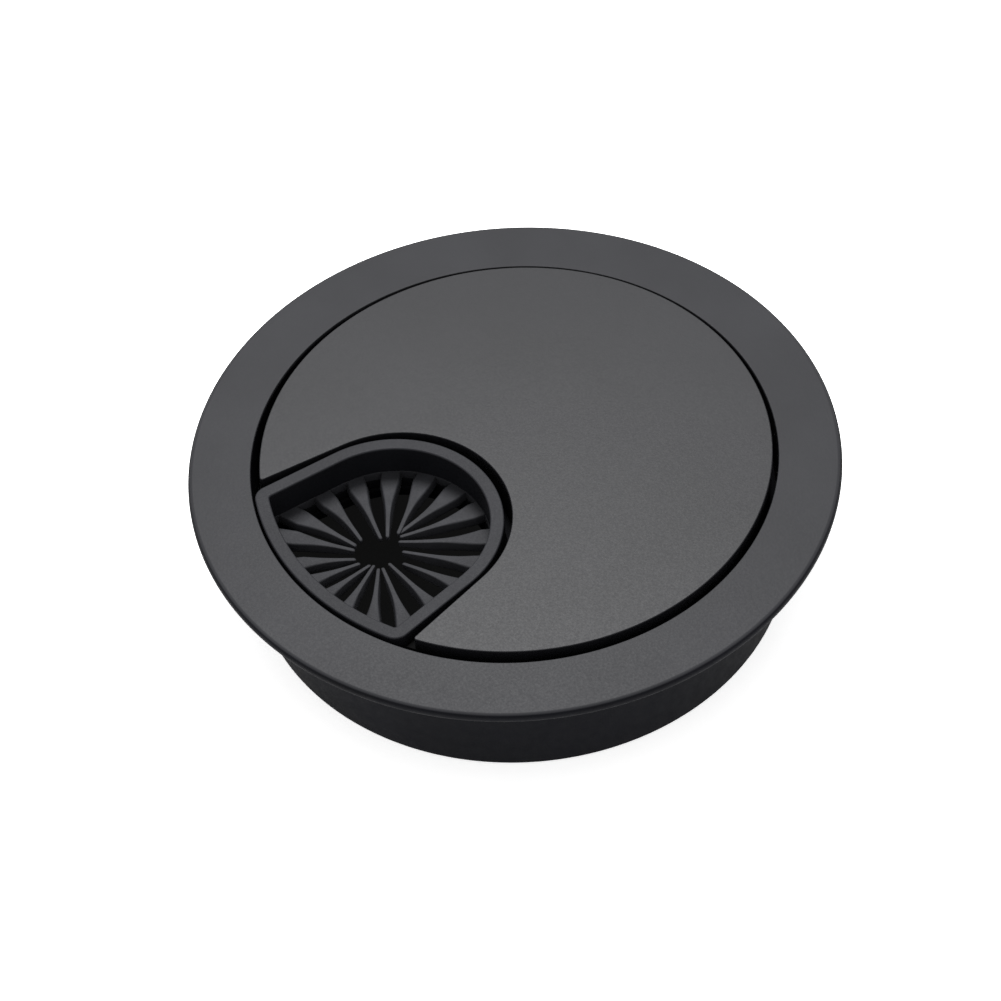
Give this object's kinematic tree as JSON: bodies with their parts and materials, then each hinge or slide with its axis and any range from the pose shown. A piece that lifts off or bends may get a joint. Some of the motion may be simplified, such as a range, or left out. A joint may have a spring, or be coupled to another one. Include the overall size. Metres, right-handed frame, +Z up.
{
  "type": "desk grommet",
  "caption": "Round flanged desk grommet with a turning lift-out cover and a drop-in cable outlet closed by flexible rubber fingers.",
  "frame": {"origin": "on the sleeve's axis, in the plane of the sleeve's foot on which the part stands", "axes": "+Z up along the sleeve's axis, towards the cover; the cable outlet lies on the -Y side when the cover is at rest, so +Y is away from the outlet and X is across it"},
  "size_m": [0.095, 0.095, 0.022],
  "materials": {
    "sleeve_paint": "satin black powder coat",
    "cover_paint": "satin black powder coat",
    "frame_plastic": "fine matte moulded black plastic",
    "carrier_plastic": "matte moulded black plastic",
    "finger_rubber": "soft matte dark grey rubber",
    "spring_steel": "drawn spring steel strip",
    "screw_steel": "zinc-plated steel"
  },
  "bodies": {
    "sleeve": {"sleeve": "sleeve_paint"},
    "spring_ring": {"spring_ring": "spring_steel"},
    "cover": {"cover_plate": "cover_paint", "cover_carrier": "carrier_plastic", "cover_screws": "screw_steel"},
    "outlet": {"outlet_frame": "frame_plastic", "finger_rim": "finger_rubber", "clamp_ring": "carrier_plastic"},
    "finger_01": {"finger_01": "finger_rubber"},
    "finger_02": {"finger_02": "finger_rubber"},
    "finger_03": {"finger_03": "finger_rubber"},
    "finger_04": {"finger_04": "finger_rubber"},
    "finger_05": {"finger_05": "finger_rubber"},
    "finger_06": {"finger_06": "finger_rubber"},
    "finger_07": {"finger_07": "finger_rubber"},
    "finger_08": {"finger_08": "finger_rubber"},
    "finger_09": {"finger_09": "finger_rubber"},
    "finger_10": {"finger_10": "finger_rubber"},
    "finger_11": {"finger_11": "finger_rubber"},
    "finger_12": {"finger_12": "finger_rubber"},
    "finger_13": {"finger_13": "finger_rubber"},
    "finger_14": {"finger_14": "finger_rubber"},
    "finger_15": {"finger_15": "finger_rubber"},
    "finger_16": {"finger_16": "finger_rubber"},
    "finger_17": {"finger_17": "finger_rubber"},
    "finger_18": {"finger_18": "finger_rubber"}
  },
  "joints": [
    {"name": "cover_lift", "type": "slide", "parent": "sleeve", "child": "spring_ring", "axis": [0, 0, 1], "range_m": [0, 0.03]},
    {"name": "cover_turn", "type": "hinge", "parent": "spring_ring", "child": "cover", "pos_m": [0, 0, 0.02], "axis": [0, 0, 1], "continuous": true},
    {"name": "outlet_lift", "type": "slide", "parent": "cover", "child": "outlet", "axis": [0, 0, 1], "range_m": [0, 0.02]},
    {"name": "finger_01_bend", "type": "hinge", "parent": "outlet", "child": "finger_01", "pos_m": [0.00189, -0.03421, 0.016], "axis": [-0.9848, -0.1736, 0], "range_deg": [-60, 60], "stiffness_Nm_per_rad": 0.0017},
    {"name": "finger_02_bend", "type": "hinge", "parent": "outlet", "child": "finger_02", "pos_m": [0.00577, -0.03349, 0.016], "axis": [-0.866, -0.5, 0], "range_deg": [-60, 60], "stiffness_Nm_per_rad": 0.0017},
    {"name": "finger_03_bend", "type": "hinge", "parent": "outlet", "child": "finger_03", "pos_m": [0.01014, -0.03201, 0.016], "axis": [-0.6428, -0.766, 0], "range_deg": [-60, 60], "stiffness_Nm_per_rad": 0.0017},
    {"name": "finger_04_bend", "type": "hinge", "parent": "outlet", "child": "finger_04", "pos_m": [0.01305, -0.02825, 0.016], "axis": [-0.342, -0.9397, 0], "range_deg": [-60, 60], "stiffness_Nm_per_rad": 0.0017},
    {"name": "finger_05_bend", "type": "hinge", "parent": "outlet", "child": "finger_05", "pos_m": [0.01299, -0.0235, 0.016], "axis": [0, -1, 0], "range_deg": [-60, 60], "stiffness_Nm_per_rad": 0.0017},
    {"name": "finger_06_bend", "type": "hinge", "parent": "outlet", "child": "finger_06", "pos_m": [0.01227, -0.01903, 0.016], "axis": [0.342, -0.9397, 0], "range_deg": [-60, 60], "stiffness_Nm_per_rad": 0.0017},
    {"name": "finger_07_bend", "type": "hinge", "parent": "outlet", "child": "finger_07", "pos_m": [0.0105, -0.01469, 0.016], "axis": [0.6428, -0.766, 0], "range_deg": [-60, 60], "stiffness_Nm_per_rad": 0.0017},
    {"name": "finger_08_bend", "type": "hinge", "parent": "outlet", "child": "finger_08", "pos_m": [0.00712, -0.01116, 0.016], "axis": [0.866, -0.5, 0], "range_deg": [-60, 60], "stiffness_Nm_per_rad": 0.0017},
    {"name": "finger_09_bend", "type": "hinge", "parent": "outlet", "child": "finger_09", "pos_m": [0.00253, -0.00912, 0.016], "axis": [0.9848, -0.1736, 0], "range_deg": [-60, 60], "stiffness_Nm_per_rad": 0.0017},
    {"name": "finger_10_bend", "type": "hinge", "parent": "outlet", "child": "finger_10", "pos_m": [-0.00253, -0.00912, 0.016], "axis": [0.9848, 0.1736, 0], "range_deg": [-60, 60], "stiffness_Nm_per_rad": 0.0017},
    {"name": "finger_11_bend", "type": "hinge", "parent": "outlet", "child": "finger_11", "pos_m": [-0.00712, -0.01116, 0.016], "axis": [0.866, 0.5, 0], "range_deg": [-60, 60], "stiffness_Nm_per_rad": 0.0017},
    {"name": "finger_12_bend", "type": "hinge", "parent": "outlet", "child": "finger_12", "pos_m": [-0.0105, -0.01469, 0.016], "axis": [0.6428, 0.766, 0], "range_deg": [-60, 60], "stiffness_Nm_per_rad": 0.0017},
    {"name": "finger_13_bend", "type": "hinge", "parent": "outlet", "child": "finger_13", "pos_m": [-0.01227, -0.01903, 0.016], "axis": [0.342, 0.9397, 0], "range_deg": [-60, 60], "stiffness_Nm_per_rad": 0.0017},
    {"name": "finger_14_bend", "type": "hinge", "parent": "outlet", "child": "finger_14", "pos_m": [-0.01299, -0.0235, 0.016], "axis": [0, 1, 0], "range_deg": [-60, 60], "stiffness_Nm_per_rad": 0.0017},
    {"name": "finger_15_bend", "type": "hinge", "parent": "outlet", "child": "finger_15", "pos_m": [-0.01305, -0.02825, 0.016], "axis": [-0.342, 0.9397, 0], "range_deg": [-60, 60], "stiffness_Nm_per_rad": 0.0017},
    {"name": "finger_16_bend", "type": "hinge", "parent": "outlet", "child": "finger_16", "pos_m": [-0.01014, -0.03201, 0.016], "axis": [-0.6428, 0.766, 0], "range_deg": [-60, 60], "stiffness_Nm_per_rad": 0.0017},
    {"name": "finger_17_bend", "type": "hinge", "parent": "outlet", "child": "finger_17", "pos_m": [-0.00577, -0.03349, 0.016], "axis": [-0.866, 0.5, 0], "range_deg": [-60, 60], "stiffness_Nm_per_rad": 0.0017},
    {"name": "finger_18_bend", "type": "hinge", "parent": "outlet", "child": "finger_18", "pos_m": [-0.00189, -0.03421, 0.016], "axis": [-0.9848, 0.1736, 0], "range_deg": [-60, 60], "stiffness_Nm_per_rad": 0.0017}
  ]
}
